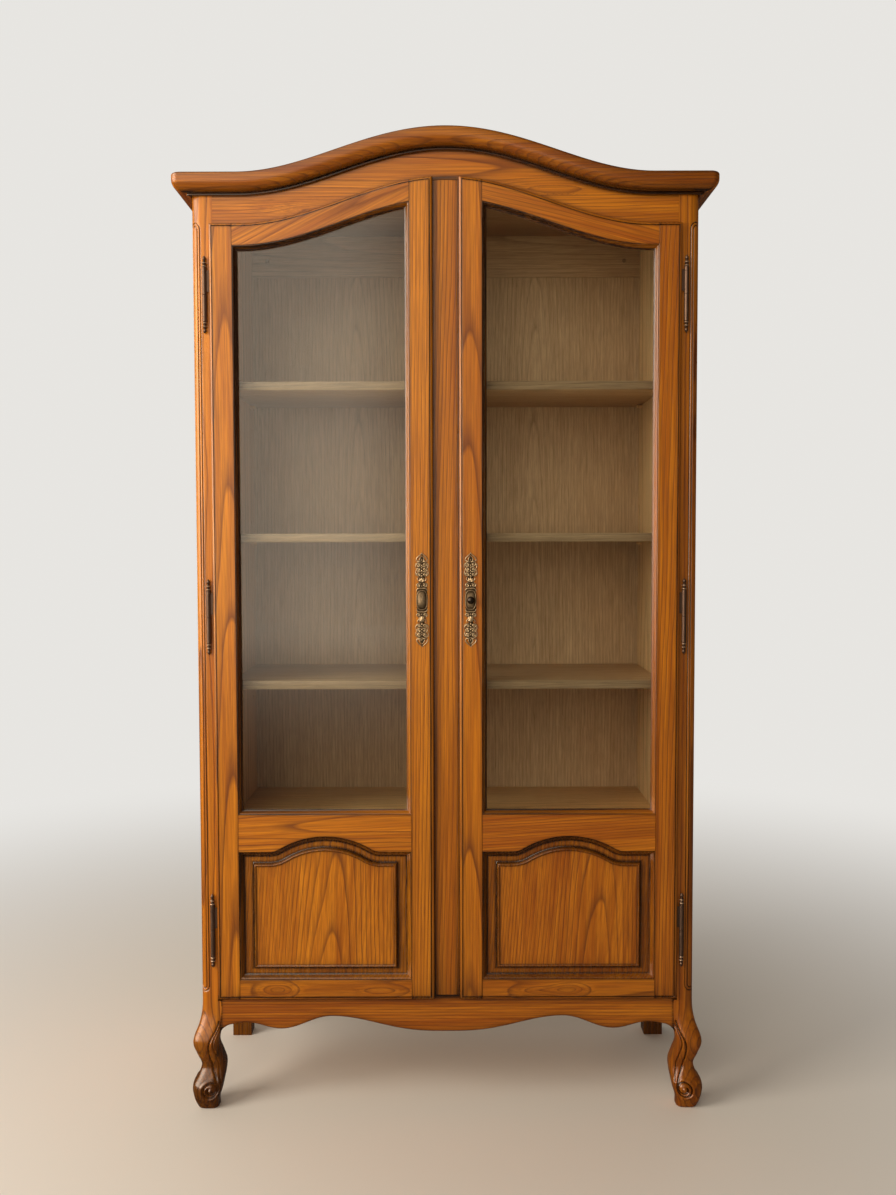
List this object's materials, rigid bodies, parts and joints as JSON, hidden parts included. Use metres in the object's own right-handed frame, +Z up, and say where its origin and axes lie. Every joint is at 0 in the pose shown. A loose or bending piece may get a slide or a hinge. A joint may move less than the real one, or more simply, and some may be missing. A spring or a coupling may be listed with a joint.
{
  "type": "display cabinet",
  "caption": "Tall stained oak display cabinet with an arched cornice, glazed doors over raised panels, cabriole legs, loose shelves and a turn knob latch.",
  "frame": {"origin": "on the floor, under the middle of the cabinet's bounding box", "axes": "+Z up, +Y towards the back, +X to the right as seen from the front; the doors face -Y"},
  "size_m": [1.123, 0.439, 2.06],
  "materials": {
    "stained_oak": "satin honey stain",
    "pale_oak": "matt oak veneer",
    "clear_glass": "polished clear",
    "antique_brass": "aged, pierced and chased",
    "dark_bronze": "dark patina"
  },
  "bodies": {
    "carcass": {"left_front_post": "stained_oak", "right_front_post": "stained_oak", "left_rear_post": "stained_oak", "right_rear_post": "stained_oak", "left_side_panel": "stained_oak", "right_side_panel": "stained_oak", "left_side_rail": "stained_oak", "right_side_rail": "stained_oak", "left_side_wall": "pale_oak", "right_side_wall": "pale_oak", "back_top_rail": "pale_oak", "back_bottom_rail": "pale_oak", "back_panel": "pale_oak", "bottom_board": "pale_oak", "display_floor": "pale_oak", "roof_board": "stained_oak", "front_frieze": "stained_oak", "front_apron": "stained_oak", "centre_post": "stained_oak", "front_cornice": "stained_oak", "left_cornice": "stained_oak", "right_cornice": "stained_oak", "left_post_lower_hinge": "dark_bronze", "left_post_middle_hinge": "dark_bronze", "left_post_upper_hinge": "dark_bronze", "right_post_lower_hinge": "dark_bronze", "right_post_middle_hinge": "dark_bronze", "right_post_upper_hinge": "dark_bronze", "left_catch_magnet": "dark_bronze"},
    "left_door": {"left_door_outer_stile": "stained_oak", "left_door_inner_stile": "stained_oak", "left_door_top_rail": "stained_oak", "left_door_mid_rail": "stained_oak", "left_door_bottom_rail": "stained_oak", "left_door_panel": "stained_oak", "left_door_glass": "clear_glass", "left_door_glass_moulding": "stained_oak", "left_door_lower_hinge": "dark_bronze", "left_door_middle_hinge": "dark_bronze", "left_door_upper_hinge": "dark_bronze", "left_door_plate": "antique_brass", "left_catch_strike": "dark_bronze"},
    "right_door": {"right_door_outer_stile": "stained_oak", "right_door_inner_stile": "stained_oak", "right_door_top_rail": "stained_oak", "right_door_mid_rail": "stained_oak", "right_door_bottom_rail": "stained_oak", "right_door_panel": "stained_oak", "right_door_glass": "clear_glass", "right_door_glass_moulding": "stained_oak", "right_door_lower_hinge": "dark_bronze", "right_door_middle_hinge": "dark_bronze", "right_door_upper_hinge": "dark_bronze", "right_door_plate": "antique_brass"},
    "latch": {"turn_knob": "dark_bronze", "latch_cam": "dark_bronze"},
    "lower_shelf": {"lower_shelf": "pale_oak"},
    "middle_shelf": {"middle_shelf": "pale_oak"},
    "upper_shelf": {"upper_shelf": "pale_oak"}
  },
  "joints": [
    {"name": "left_door_swing", "type": "hinge", "parent": "carcass", "child": "left_door", "pos_m": [-0.499, -0.1908, 1.05], "axis": [0, 0, -1], "range_deg": [0, 150]},
    {"name": "right_door_swing", "type": "hinge", "parent": "carcass", "child": "right_door", "pos_m": [0.499, -0.1908, 1.05], "axis": [0, 0, 1], "range_deg": [0, 150]},
    {"name": "knob_turn", "type": "hinge", "parent": "right_door", "child": "latch", "pos_m": [0.051, -0.1978, 1.0915], "axis": [0, -1, 0], "range_deg": [0, 90]},
    {"name": "lower_shelf_lift", "type": "slide", "parent": "carcass", "child": "lower_shelf", "axis": [0, 0, 1], "range_m": [0, 0.05]},
    {"name": "middle_shelf_lift", "type": "slide", "parent": "carcass", "child": "middle_shelf", "axis": [0, 0, 1], "range_m": [0, 0.05]},
    {"name": "upper_shelf_lift", "type": "slide", "parent": "carcass", "child": "upper_shelf", "axis": [0, 0, 1], "range_m": [0, 0.05]}
  ]
}
